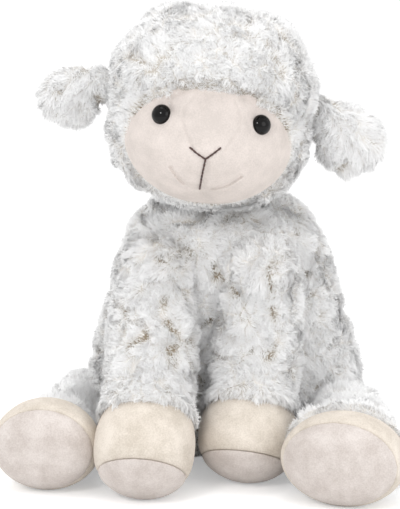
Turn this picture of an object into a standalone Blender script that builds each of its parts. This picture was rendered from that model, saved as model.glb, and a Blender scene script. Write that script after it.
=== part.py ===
"""A sitting plush sheep: fur covers over loose filling, a velour face and velour hooves.

The sheep faces -Y and its own left is +X. Head, ears, legs and tail are sewn on and flop at their
seams, so each has a round root that turns in a matching hollow of the piece that carries it.
"""

import math

import bmesh
import bpy
from mathutils import Matrix, Vector
from mathutils.bvhtree import BVHTree

MM = 0.001
MERGE_DISTANCE = 0.01 * MM

# Cloth and the room that two touching pieces keep
SEAM_GAP = 0.3 * MM
FUR_WALL = 8.0 * MM
LIMB_WALL = 6.0 * MM
VELOUR_WALL = 2.4 * MM

# Body, from the seat up to the neck
BODY_HEIGHT = 170.0 * MM
BODY_HALF_WIDTH = 83.0 * MM
BODY_HALF_DEPTH = 58.0 * MM
SEAT_BACK = 12.0 * MM
BELLY_BACK = 10.0 * MM
NECK_AHEAD = 14.0 * MM
BEAN_BAG_HEIGHT = 26.0 * MM

# Head, a ball that turns in a dish on top of the body. It leans to its left and looks that way.
HEAD_RADIUS = 61.0 * MM
HEAD_AHEAD = 26.0 * MM
HEAD_ABOVE_NECK = 48.0 * MM
HEAD_UP = BODY_HEIGHT + HEAD_ABOVE_NECK
HEAD_ROLL = math.radians(6.0)
HEAD_LOOK = math.radians(6.0)
NECK_OPENING_RADIUS = 20.0 * MM

# Face, measured from the middle of the head
FACE_HALF_WIDTH = 50.0 * MM
FACE_ABOVE = 56.0 * MM
FACE_BELOW = 38.0 * MM
FACE_REACH = 42.0 * MM
FACE_AHEAD = 22.0 * MM
FACE_DOWN = 13.5 * MM
FACE_RIM_AHEAD = 24.0 * MM
FACE_OPENING_AHEAD = 33.0 * MM
FACE_OPENING_HALF_WIDTH = 47.0 * MM
FACE_OPENING_HALF_HEIGHT = 35.5 * MM
MUZZLE_BULGE = 5.0 * MM
MUZZLE_DOWN = 20.0 * MM
MUZZLE_SPREAD = 22.0 * MM

# Safety eyes, each a dome on a shank with a washer pushed on from inside
EYE_RADIUS = 6.0 * MM
EYE_HEIGHT = 4.8 * MM
EYE_SPACING = 29.0 * MM
EYE_UP = 3.0 * MM
SHANK_RADIUS = 2.0 * MM
SHANK_LENGTH = 12.0 * MM
WASHER_RADIUS = 8.0 * MM
WASHER_THICKNESS = 2.0 * MM
WASHER_DEPTH = 4.6 * MM

# Nose and mouth, three lines of thread on the face
THREAD_RADIUS = 0.8 * MM
NOSE_ARM_OUT = 9.0 * MM
NOSE_ARM_DOWN = 12.5 * MM
NOSE_FORK_DOWN = 19.0 * MM
MOUTH_END_DOWN = 37.0 * MM

# Ears, measured from the middle of the head
EAR_ROOT_OUT = 55.0 * MM
EAR_ROOT_UP = 10.0 * MM
EAR_BACK = 3.0 * MM
EAR_ROOT_RADIUS = 12.5 * MM
EAR_TIP_OUT = 99.0 * MM
EAR_TIP_DOWN = 15.0 * MM
EAR_BEND_OUT = 79.0 * MM
EAR_BEND_UP = 10.0 * MM
LEFT_EAR_DROOP = 6.0 * MM
EAR_HALF_WIDTH = 23.0 * MM
EAR_HALF_THICKNESS = 10.0 * MM

# Front legs, which hang from the shoulders over the belly
SHOULDER_OUT = 32.0 * MM
SHOULDER_AHEAD = 41.0 * MM
SHOULDER_UP = 121.0 * MM
SHOULDER_RADIUS = 26.0 * MM
FRONT_HALF_WIDTH = 29.0 * MM
FRONT_HALF_THICKNESS = 27.0 * MM
FRONT_BEND_OUT = 30.0 * MM
FRONT_BEND_UP = 59.0 * MM
RIGHT_FRONT_BEND_AHEAD = 80.0 * MM
RIGHT_FRONT_TOE_OUT = 31.5 * MM
RIGHT_FRONT_TOE_AHEAD = 122.0 * MM
RIGHT_FRONT_TOE_UP = 6.2 * MM
LEFT_FRONT_BEND_AHEAD = 48.0 * MM
LEFT_FRONT_TOE_OUT = 25.0 * MM
LEFT_FRONT_TOE_AHEAD = 82.0 * MM
LEFT_FRONT_TOE_UP = 4.6 * MM

# Hind legs, which lie on the floor and point forward
HIP_INSET = 5.0 * MM
HIP_OUT = BODY_HALF_WIDTH - HIP_INSET
HIP_AHEAD = 14.0 * MM
HIP_UP = 27.5 * MM
HIP_RADIUS = 25.0 * MM
HIND_HALF_WIDTH = 33.5 * MM
HIND_HALF_THICKNESS = 28.0 * MM
RIGHT_HIND_BEND_SPLAY = 12.0 * MM
RIGHT_HIND_BEND_AHEAD = 50.0 * MM
RIGHT_HIND_TOE_SPLAY = 14.0 * MM
RIGHT_HIND_TOE_AHEAD = 116.0 * MM
LEFT_HIND_BEND_SPLAY = 20.0 * MM
LEFT_HIND_BEND_AHEAD = 66.0 * MM
LEFT_HIND_TOE_SPLAY = 5.5 * MM
LEFT_HIND_TOE_AHEAD = 127.0 * MM
HIND_BEND_UP = 27.5 * MM
HIND_TOE_UP = 26.5 * MM

# Tail, a short flap low on the back
TAIL_ROOT_BACK = 71.0 * MM
TAIL_ROOT_UP = 46.0 * MM
TAIL_ROOT_RADIUS = 9.0 * MM
TAIL_BEND_BACK = 90.0 * MM
TAIL_BEND_UP = 42.0 * MM
TAIL_TIP_BACK = 90.0 * MM
TAIL_TIP_UP = 10.0 * MM
TAIL_HALF_WIDTH = 15.0 * MM
TAIL_HALF_THICKNESS = 10.0 * MM

# Rings of each form: share along its path, share of its half width, share of its half thickness.
# A ring of no width is the closed end.
BODY_RING_SHARES = (
    (-0.003, 0.0, 0.0),
    (0.0, 0.62, 0.66),
    (0.06, 0.97, 1.06),
    (0.25, 1.04, 1.16),
    (0.48, 0.93, 1.06),
    (0.70, 0.84, 0.90),
    (0.86, 0.73, 0.78),
    (0.96, 0.52, 0.56),
    (1.0, 0.0, 0.0),
)
FRONT_RING_SHARES = (
    (-0.14, 0.0, 0.0),
    (-0.10, 0.68, 0.55),
    (0.06, 0.94, 0.90),
    (0.32, 1.03, 1.02),
    (0.62, 0.96, 0.98),
    (0.86, 1.06, 1.14),
    (0.97, 0.72, 0.78),
    (1.02, 0.0, 0.0),
)
HIND_RING_SHARES = (
    (-0.20, 0.0, 0.0),
    (-0.14, 0.50, 0.52),
    (0.04, 0.78, 0.92),
    (0.34, 0.72, 0.94),
    (0.62, 0.78, 0.92),
    (0.84, 1.04, 1.06),
    (0.97, 0.80, 0.82),
    (1.02, 0.0, 0.0),
)
EAR_RING_SHARES = (
    (-0.10, 0.0, 0.0),
    (0.0, 0.36, 0.70),
    (0.30, 0.60, 0.90),
    (0.62, 1.0, 1.10),
    (0.90, 0.80, 0.90),
    (1.02, 0.0, 0.0),
)
TAIL_RING_SHARES = (
    (-0.10, 0.0, 0.0),
    (0.0, 0.48, 0.70),
    (0.45, 0.95, 1.05),
    (0.85, 0.90, 0.95),
    (1.02, 0.0, 0.0),
)
FRONT_HOOF_START_SHARE = 0.66
FRONT_SOLE_START_SHARE = 0.90
HIND_HOOF_START_SHARE = 0.75
HIND_SOLE_START_SHARE = 0.90
HOOD_FULLNESS_SHARE = 0.10

# Counts of facets
BODY_SIDES = 12
LIMB_SIDES = 8
BALL_SEGMENTS = 20
BALL_RINGS = 12
SMALL_BALL_SEGMENTS = 14
SMALL_BALL_RINGS = 8
HEAD_SEGMENTS = 20
HEAD_RINGS = 12
HEAD_ROOM_SEGMENTS = 16
HEAD_ROOM_RINGS = 10
TURNED_STEPS = 16
THREAD_POINTS = 7

X_AXIS = Vector((1.0, 0.0, 0.0))
Y_AXIS = Vector((0.0, 1.0, 0.0))
Z_AXIS = Vector((0.0, 0.0, 1.0))
FLOOR = Vector((0.0, 0.0, 0.0))

for old in list(bpy.data.objects):
    bpy.data.objects.remove(old, do_unlink=True)

sheep = bpy.data.collections.new("plush_sheep")
bpy.context.scene.collection.children.link(sheep)


def material(name, colour, roughness):
    """A plain Principled material from a linear colour."""
    made = bpy.data.materials.new(name)
    made.use_nodes = True
    shader = made.node_tree.nodes["Principled BSDF"]
    shader.inputs["Base Color"].default_value = (*colour, 1.0)
    shader.inputs["Roughness"].default_value = roughness
    shader.inputs["Metallic"].default_value = 0.0
    return made


WHITE_FUR = material("white_fur", (0.80, 0.79, 0.75), 0.9)
CREAM_VELOUR = material("cream_velour", (0.84, 0.73, 0.60), 0.85)
PINK_VELOUR = material("pink_velour", (0.86, 0.74, 0.64), 0.85)
POLYESTER_FILL = material("polyester_fill", (0.90, 0.90, 0.90), 0.95)
BEAN_CLOTH = material("bean_bag_cloth", (0.70, 0.70, 0.68), 0.8)
BLACK_PLASTIC = material("black_plastic", (0.006, 0.005, 0.005), 0.08)
WHITE_PLASTIC = material("white_plastic", (0.85, 0.85, 0.83), 0.4)
BROWN_THREAD = material("brown_thread", (0.05, 0.02, 0.012), 0.6)


def add_object(name, mesh):
    """Links a mesh to the sheep as an object of that name."""
    obj = bpy.data.objects.new(name, mesh)
    sheep.objects.link(obj)
    return obj


def add_bmesh(name, shape):
    """Turns a bmesh into an object, with its faces pointing out."""
    bmesh.ops.recalc_face_normals(shape, faces=shape.faces)
    mesh = bpy.data.meshes.new(name)
    shape.to_mesh(mesh)
    shape.free()
    return add_object(name, mesh)


def settle(obj):
    """Replaces an object by the mesh that its modifiers give."""
    graph = bpy.context.evaluated_depsgraph_get()
    mesh = bpy.data.meshes.new_from_object(obj.evaluated_get(graph))
    name = obj.name
    place = obj.matrix_world.copy()
    bpy.data.objects.remove(obj, do_unlink=True)
    settled = add_object(name, mesh)
    settled.matrix_world = place
    return settled


def combine(obj, others, operation):
    """Cuts other objects from an object, or joins them to it, and removes them."""
    for other in others:
        step = obj.modifiers.new(operation, "BOOLEAN")
        step.operation = operation
        step.object = other
    bpy.context.view_layer.update()
    settled = settle(obj)
    for other in others:
        bpy.data.objects.remove(other, do_unlink=True)
    return settled


def slice_away(obj, point, normal):
    """Removes what lies beyond a plane, on the side that its normal points to."""
    shape = bmesh.new()
    shape.from_mesh(obj.data)
    everything = shape.verts[:] + shape.edges[:] + shape.faces[:]
    cut = bmesh.ops.bisect_plane(
        shape, geom=everything, plane_co=point, plane_no=normal, clear_outer=True
    )
    rim = [part for part in cut["geom_cut"] if isinstance(part, bmesh.types.BMEdge)]
    bmesh.ops.holes_fill(shape, edges=rim)
    shape.to_mesh(obj.data)
    shape.free()
    return obj


def path_point(path, share):
    """A point on the bent line through a path's start, bend and end."""
    start, bend, end = path
    rest = 1.0 - share
    return start * rest**2 + bend * (2.0 * rest * share) + end * share**2


def path_slope(path, share):
    """The direction of that line at a point."""
    start, bend, end = path
    return ((bend - start) * (1.0 - share) + (end - bend) * share).normalized()


def stuffed_form(name, path, ring_shares, half_width, half_thickness, across, sides, inset=None):
    """A closed form that swells and tapers along a path.

    Its outer surface is smooth. With an inset it is the plainer room that far inside that surface.
    """
    fullness = 1.0
    if inset is None:
        fullness = 1.0 / (0.75 + 0.25 * math.cos(2.0 * math.pi / sides))
    depth = inset or 0.0
    middles = [path_point(path, along) for along, _, _ in ring_shares]
    radii = [(half_width * wide + half_thickness * thick) / 2.0 for _, wide, thick in ring_shares]
    last = len(ring_shares) - 1
    shape = bmesh.new()
    rings = []
    for place, (along, wide, thick) in enumerate(ring_shares):
        slope = path_slope(path, along)
        before = max(place - 1, 0)
        after = min(place + 1, last)
        run = (middles[after] - middles[before]).length
        rise = radii[after] - radii[before]
        lean = math.atan2(rise, run)
        centre = middles[place] + slope * (depth * math.sin(lean))
        if wide == 0.0:
            rings.append([shape.verts.new(centre)])
            continue
        side = (across - slope * across.dot(slope)).normalized()
        lift = slope.cross(side)
        wide_reach = (half_width * wide - depth * math.cos(lean)) * fullness
        thick_reach = (half_thickness * thick - depth * math.cos(lean)) * fullness
        ring = []
        for step in range(sides):
            turn = 2.0 * math.pi * step / sides
            out = side * (wide_reach * math.cos(turn))
            up = lift * (thick_reach * math.sin(turn))
            ring.append(shape.verts.new(centre + out + up))
        rings.append(ring)
    for near, far in zip(rings, rings[1:]):
        for step in range(sides):
            corners = (
                near[step % len(near)],
                near[(step + 1) % len(near)],
                far[(step + 1) % len(far)],
                far[step % len(far)],
            )
            shape.faces.new(list(dict.fromkeys(corners)))
    if inset is not None:
        bmesh.ops.triangulate(shape, faces=shape.faces, quad_method="FIXED")
    form = add_bmesh(name, shape)
    if inset is None:
        smooth = form.modifiers.new("smooth", "SUBSURF")
        smooth.levels = 1
        smooth.render_levels = 1
        bpy.context.view_layer.update()
        form = settle(form)
    return form


def ball(name, centre, radius, segments=BALL_SEGMENTS, rings=BALL_RINGS):
    """A sphere about a point."""
    shape = bmesh.new()
    bmesh.ops.create_uvsphere(shape, u_segments=segments, v_segments=rings, radius=radius)
    bmesh.ops.translate(shape, verts=shape.verts, vec=centre)
    return add_bmesh(name, shape)


def hollow(name, centre, radius, segments=BALL_SEGMENTS, rings=BALL_RINGS):
    """A hollow that a faceted ball can turn in, its flats no nearer than the seam's gap."""
    flats = math.cos(math.pi / segments) * math.cos(math.pi / (2.0 * rings))
    return ball(name, centre, (radius + SEAM_GAP) / flats, segments, rings)


def small_ball(name, centre, radius):
    """The rounder root of an ear or the tail, with fewer facets."""
    return ball(name, centre, radius, SMALL_BALL_SEGMENTS, SMALL_BALL_RINGS)


def small_hollow(name, centre, radius):
    """The hollow that such a root turns in."""
    return hollow(name, centre, radius, SMALL_BALL_SEGMENTS, SMALL_BALL_RINGS)


def body_form(name, inset=None, grow=0.0):
    """The body's pear shape, upright and leaning a little forward at the neck."""
    path = (
        Vector((0.0, SEAT_BACK, 0.0)),
        Vector((0.0, BELLY_BACK, BODY_HEIGHT / 2.0)),
        Vector((0.0, -NECK_AHEAD, BODY_HEIGHT)),
    )
    return stuffed_form(
        name,
        path,
        BODY_RING_SHARES,
        BODY_HALF_WIDTH + grow,
        BODY_HALF_DEPTH + grow,
        X_AXIS,
        BODY_SIDES,
        inset,
    )


# Where each limb of the body starts, bends and ends. The side is +1 for the sheep's own left.
def front_path(side, bend_ahead, toe_out, toe_ahead, toe_up):
    """A front leg from its shoulder to its toe."""
    return (
        Vector((side * SHOULDER_OUT, -SHOULDER_AHEAD, SHOULDER_UP)),
        Vector((side * FRONT_BEND_OUT, -bend_ahead, FRONT_BEND_UP)),
        Vector((side * toe_out, -toe_ahead, toe_up)),
    )


def hind_path(side, bend_splay, bend_ahead, toe_splay, toe_ahead):
    """A hind leg from its hip to its toe, which both stand a splay further out than the hip."""
    return (
        Vector((side * HIP_OUT, -HIP_AHEAD, HIP_UP)),
        Vector((side * (HIP_OUT + bend_splay), -bend_ahead, HIND_BEND_UP)),
        Vector((side * (HIP_OUT + toe_splay), -toe_ahead, HIND_TOE_UP)),
    )


FRONT_FORM = (
    FRONT_RING_SHARES,
    FRONT_HALF_WIDTH,
    FRONT_HALF_THICKNESS,
    SHOULDER_RADIUS,
    FRONT_HOOF_START_SHARE,
    FRONT_SOLE_START_SHARE,
)
HIND_FORM = (
    HIND_RING_SHARES,
    HIND_HALF_WIDTH,
    HIND_HALF_THICKNESS,
    HIP_RADIUS,
    HIND_HOOF_START_SHARE,
    HIND_SOLE_START_SHARE,
)
LEGS = {
    "left_front": (
        front_path(
            1.0, LEFT_FRONT_BEND_AHEAD, LEFT_FRONT_TOE_OUT, LEFT_FRONT_TOE_AHEAD, LEFT_FRONT_TOE_UP
        ),
        FRONT_FORM,
    ),
    "right_front": (
        front_path(
            -1.0,
            RIGHT_FRONT_BEND_AHEAD,
            RIGHT_FRONT_TOE_OUT,
            RIGHT_FRONT_TOE_AHEAD,
            RIGHT_FRONT_TOE_UP,
        ),
        FRONT_FORM,
    ),
    "left_hind": (
        hind_path(
            1.0,
            LEFT_HIND_BEND_SPLAY,
            LEFT_HIND_BEND_AHEAD,
            LEFT_HIND_TOE_SPLAY,
            LEFT_HIND_TOE_AHEAD,
        ),
        HIND_FORM,
    ),
    "right_hind": (
        hind_path(
            -1.0,
            RIGHT_HIND_BEND_SPLAY,
            RIGHT_HIND_BEND_AHEAD,
            RIGHT_HIND_TOE_SPLAY,
            RIGHT_HIND_TOE_AHEAD,
        ),
        HIND_FORM,
    ),
}
TAIL_PATH = (
    Vector((0.0, TAIL_ROOT_BACK, TAIL_ROOT_UP)),
    Vector((0.0, TAIL_BEND_BACK, TAIL_BEND_UP)),
    Vector((0.0, TAIL_TIP_BACK, TAIL_TIP_UP)),
)
HEAD_MIDDLE = Vector((0.0, -HEAD_AHEAD, HEAD_UP))


def finish_piece(obj, paint, pivot=None):
    """Gives a piece its material, smooth shading and the empty that it turns about."""
    obj.data.materials.clear()
    obj.data.materials.append(paint)
    obj.data.shade_smooth()
    obj.data.set_sharp_from_angle(angle=math.radians(50.0))
    if pivot is not None:
        bpy.context.view_layer.update()
        obj.data.transform(pivot.matrix_world.inverted() @ obj.matrix_world)
        obj.matrix_world = Matrix.Identity(4)
        obj.parent = pivot
    return obj


def add_pivot(name, place, roll=0.0, look=0.0, parent=None):
    """An empty on a joint's axis."""
    pivot = bpy.data.objects.new(name, None)
    sheep.objects.link(pivot)
    pivot.empty_display_size = EYE_RADIUS
    pivot.location = place
    pivot.rotation_euler = (0.0, roll, look)
    pivot.parent = parent
    bpy.context.view_layer.update()
    return pivot


def root_hollows():
    """The hollows that the turning roots and the head need in the body."""
    hollows = []
    for name, (path, form) in LEGS.items():
        hollows.append(hollow(name + "_hollow", path[0], form[3]))
    hollows.append(small_hollow("tail_hollow", TAIL_PATH[0], TAIL_ROOT_RADIUS))
    hollows.append(
        hollow("head_hollow", HEAD_MIDDLE, HEAD_RADIUS, HEAD_SEGMENTS, HEAD_RINGS)
    )
    return hollows


# Body: a fur cover, open where limbs and head are sewn in, over filling and a bag of beans
def make_body():
    cover = combine(body_form("body_cover"), [body_form("body_room", FUR_WALL)], "DIFFERENCE")
    cover = slice_away(cover, FLOOR, -Z_AXIS)
    cover = combine(cover, root_hollows(), "DIFFERENCE")
    finish_piece(cover, WHITE_FUR)
    bag_top = Vector((0.0, 0.0, BEAN_BAG_HEIGHT))
    filling = body_form("body_stuffing", FUR_WALL + SEAM_GAP)
    filling = slice_away(filling, bag_top, -Z_AXIS)
    filling = combine(filling, root_hollows(), "DIFFERENCE")
    finish_piece(filling, POLYESTER_FILL)
    bag = body_form("seat_bean_bag", FUR_WALL + SEAM_GAP)
    bag = slice_away(bag, bag_top - Z_AXIS * SEAM_GAP, Z_AXIS)
    bag = combine(bag, root_hollows(), "DIFFERENCE")
    finish_piece(bag, BEAN_CLOTH)


def leg_volume(name, path, form, inset=None):
    """A leg with its round root, cut where it lies on the body, or the room inside it."""
    ring_shares, half_width, half_thickness, root_radius = form[:4]
    depth = inset or 0.0
    volume = stuffed_form(
        name, path, ring_shares, half_width, half_thickness, X_AXIS, LIMB_SIDES, inset
    )
    volume = combine(volume, [body_form("body_print", None, SEAM_GAP + depth)], "DIFFERENCE")
    return combine(volume, [ball("root", path[0], root_radius - depth)], "UNION")


# Leg: a fur tube over filling, then a velour hoof with its own sole
def make_leg(name, path, form):
    hoof_share, sole_share = form[4:]
    pivot = add_pivot(name + "_pivot", path[0])
    hoof_place = path_point(path, hoof_share)
    hoof_slope = path_slope(path, hoof_share)
    sole_place = path_point(path, sole_share)
    sole_slope = path_slope(path, sole_share)
    half_gap = SEAM_GAP / 2.0

    cover = leg_volume(name + "_leg_cover", path, form)
    cover = slice_away(cover, hoof_place - hoof_slope * half_gap, hoof_slope)
    cover = slice_away(cover, FLOOR, -Z_AXIS)
    cover = combine(cover, [leg_volume("leg_room", path, form, LIMB_WALL)], "DIFFERENCE")
    finish_piece(cover, WHITE_FUR, pivot)

    upper = leg_volume(name + "_hoof", path, form)
    upper = slice_away(upper, hoof_place + hoof_slope * half_gap, -hoof_slope)
    upper = slice_away(upper, sole_place - sole_slope * half_gap, sole_slope)
    upper = slice_away(upper, FLOOR, -Z_AXIS)
    upper = combine(upper, [leg_volume("hoof_room", path, form, LIMB_WALL)], "DIFFERENCE")
    finish_piece(upper, CREAM_VELOUR, pivot)

    sole = leg_volume(name + "_hoof_sole", path, form)
    sole = slice_away(sole, sole_place + sole_slope * half_gap, -sole_slope)
    sole = slice_away(sole, FLOOR, -Z_AXIS)
    sole = combine(sole, [leg_volume("sole_room", path, form, LIMB_WALL)], "DIFFERENCE")
    finish_piece(sole, PINK_VELOUR, pivot)

    filling = leg_volume(name + "_leg_stuffing", path, form, LIMB_WALL + SEAM_GAP)
    finish_piece(filling, POLYESTER_FILL, pivot)


# Tail: one small stuffed flap that turns about its root
def make_tail():
    pivot = add_pivot("tail_pivot", TAIL_PATH[0])
    tail = stuffed_form(
        "tail",
        TAIL_PATH,
        TAIL_RING_SHARES,
        TAIL_HALF_WIDTH,
        TAIL_HALF_THICKNESS,
        X_AXIS,
        LIMB_SIDES,
    )
    tail = combine(tail, [body_form("body_print", None, SEAM_GAP)], "DIFFERENCE")
    tail = combine(tail, [small_ball("root", TAIL_PATH[0], TAIL_ROOT_RADIUS)], "UNION")
    finish_piece(tail, WHITE_FUR, pivot)


# The head's own pieces are made about its middle, upright, and rolled with it afterwards
def head_form(name, inset, segments=HEAD_SEGMENTS, rings=HEAD_RINGS):
    """A ball, fuller above its middle, an inset inside the fur's surface."""
    shape = bmesh.new()
    radius = HEAD_RADIUS - inset
    bmesh.ops.create_uvsphere(shape, u_segments=segments, v_segments=rings, radius=radius)
    for vert in shape.verts:
        height = max(vert.co.z / radius, 0.0)
        fuller = 1.0 + HOOD_FULLNESS_SHARE * math.sin(math.pi * height) ** 2
        vert.co.x *= fuller
        vert.co.y *= fuller
    return add_bmesh(name, shape)


def face_form(name, inset):
    """The face, an egg with a bulging muzzle, an inset inside its surface."""
    shape = bmesh.new()
    bmesh.ops.create_uvsphere(
        shape, u_segments=HEAD_SEGMENTS, v_segments=HEAD_RINGS, radius=1.0
    )
    for vert in shape.verts:
        across, ahead, up = vert.co
        height = FACE_ABOVE if up > 0.0 else FACE_BELOW
        x = across * (FACE_HALF_WIDTH - inset)
        y = ahead * (FACE_REACH - inset) - FACE_AHEAD
        z = up * (height - inset) - FACE_DOWN
        away = math.hypot(x, z + MUZZLE_DOWN) / MUZZLE_SPREAD
        if ahead < 0.0:
            y -= MUZZLE_BULGE * math.exp(-away * away)
        vert.co = Vector((x, y, z))
    return add_bmesh(name, shape)


def face_opening():
    """The hood's opening seen from the front, an oval that reaches forward from its edge."""
    shape = bmesh.new()
    bmesh.ops.create_cone(
        shape, cap_ends=True, segments=HEAD_SEGMENTS, radius1=1.0, radius2=1.0, depth=1.0
    )
    for vert in shape.verts:
        across, up, ahead = vert.co
        reach = HEAD_RADIUS * 2.0 if ahead > 0.0 else FACE_OPENING_AHEAD
        x = across * FACE_OPENING_HALF_WIDTH
        z = up * FACE_OPENING_HALF_HEIGHT - FACE_DOWN
        vert.co = Vector((x, -reach, z))
    return add_bmesh("face_opening", shape)


def face_surface():
    """A tree that finds the face's outer surface."""
    form = face_form("face_probe", 0.0)
    tree = BVHTree.FromPolygons(
        [vert.co for vert in form.data.vertices], [face.vertices for face in form.data.polygons]
    )
    bpy.data.objects.remove(form, do_unlink=True)
    return tree


FACE_TREE = face_surface()


def face_point(x, z):
    """The point of the face's surface at a place seen from the front, and its direction."""
    start = Vector((x, -FACE_AHEAD - FACE_REACH * 2.0, z))
    place, normal, _, _ = FACE_TREE.ray_cast(start, Y_AXIS)
    return place, normal


def turned(name, profile, place, direction):
    """A piece turned about its own axis from a profile of radius and height."""
    mesh = bpy.data.meshes.new(name)
    points = [(radius, 0.0, height) for radius, height in profile]
    mesh.from_pydata(points, [(step, step + 1) for step in range(len(points) - 1)], [])
    obj = add_object(name, mesh)
    screw = obj.modifiers.new("turn", "SCREW")
    screw.axis = "Z"
    screw.steps = TURNED_STEPS
    screw.render_steps = TURNED_STEPS
    screw.use_merge_vertices = True
    screw.merge_threshold = MERGE_DISTANCE
    bpy.context.view_layer.update()
    piece = settle(obj)
    shape = bmesh.new()
    shape.from_mesh(piece.data)
    bmesh.ops.remove_doubles(shape, verts=shape.verts, dist=MERGE_DISTANCE)
    bmesh.ops.recalc_face_normals(shape, faces=shape.faces)
    facing = direction.to_track_quat("Z", "Y").to_matrix().to_4x4()
    shape.transform(Matrix.Translation(place) @ facing)
    shape.to_mesh(piece.data)
    shape.free()
    return piece


def eye_seat(side):
    """Where an eye sits on the face, and the way it looks."""
    place, normal = face_point(side * EYE_SPACING, EYE_UP)
    return place, normal


def eye_profile():
    """Half of an eye: its dome, flat back and shank, from the top down."""
    rise = [math.radians(angle) for angle in (90.0, 68.0, 45.0, 22.0, 0.0)]
    profile = [
        (EYE_RADIUS * math.cos(angle), SEAM_GAP * 2.0 + EYE_HEIGHT * math.sin(angle))
        for angle in rise
    ]
    profile[0] = (0.0, profile[0][1])
    shank = [(SHANK_RADIUS, SEAM_GAP * 2.0), (SHANK_RADIUS, -SHANK_LENGTH), (0.0, -SHANK_LENGTH)]
    return profile + shank


def washer_profile():
    """Half of a washer, an outline that closes on itself."""
    bore = SHANK_RADIUS + SEAM_GAP
    top = -WASHER_DEPTH
    foot = top - WASHER_THICKNESS
    return [(bore, top), (WASHER_RADIUS, top), (WASHER_RADIUS, foot), (bore, foot), (bore, top)]


def rod(name, radius, top, foot, place, direction):
    """A plain turned rod between two heights, used as a cutter."""
    return turned(name, [(0.0, top), (radius, top), (radius, foot), (0.0, foot)], place, direction)


def eye_holes(radius, top, foot):
    """A rod at each eye."""
    return [rod("eye_hole", radius, top, foot, *eye_seat(side)) for side in (-1.0, 1.0)]


def thread_line(name, ends):
    """A line of thread that lies on the face between two places."""
    line = bpy.data.curves.new(name, "CURVE")
    line.dimensions = "3D"
    line.bevel_depth = THREAD_RADIUS
    line.bevel_resolution = 1
    line.use_fill_caps = True
    spline = line.splines.new("POLY")
    spline.points.add(THREAD_POINTS - 1)
    start, end = ends
    for step in range(THREAD_POINTS):
        share = step / (THREAD_POINTS - 1)
        place, normal = face_point(
            start[0] + (end[0] - start[0]) * share, start[1] + (end[1] - start[1]) * share
        )
        spline.points[step].co = (*(place + normal * (THREAD_RADIUS + SEAM_GAP * 2.0)), 1.0)
    obj = add_object(name, line)
    bpy.context.view_layer.update()
    piece = settle(obj)
    shape = bmesh.new()
    shape.from_mesh(piece.data)
    bmesh.ops.remove_doubles(shape, verts=shape.verts, dist=MERGE_DISTANCE)
    bmesh.ops.recalc_face_normals(shape, faces=shape.faces)
    shape.to_mesh(piece.data)
    shape.free()
    return piece


def ear_path(side, droop):
    """An ear from its root to its tip, which droops, and may droop further."""
    return (
        Vector((side * EAR_ROOT_OUT, EAR_BACK, EAR_ROOT_UP)),
        Vector((side * EAR_BEND_OUT, EAR_BACK, EAR_BEND_UP - droop)),
        Vector((side * EAR_TIP_OUT, EAR_BACK, -EAR_TIP_DOWN - droop)),
    )


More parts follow.
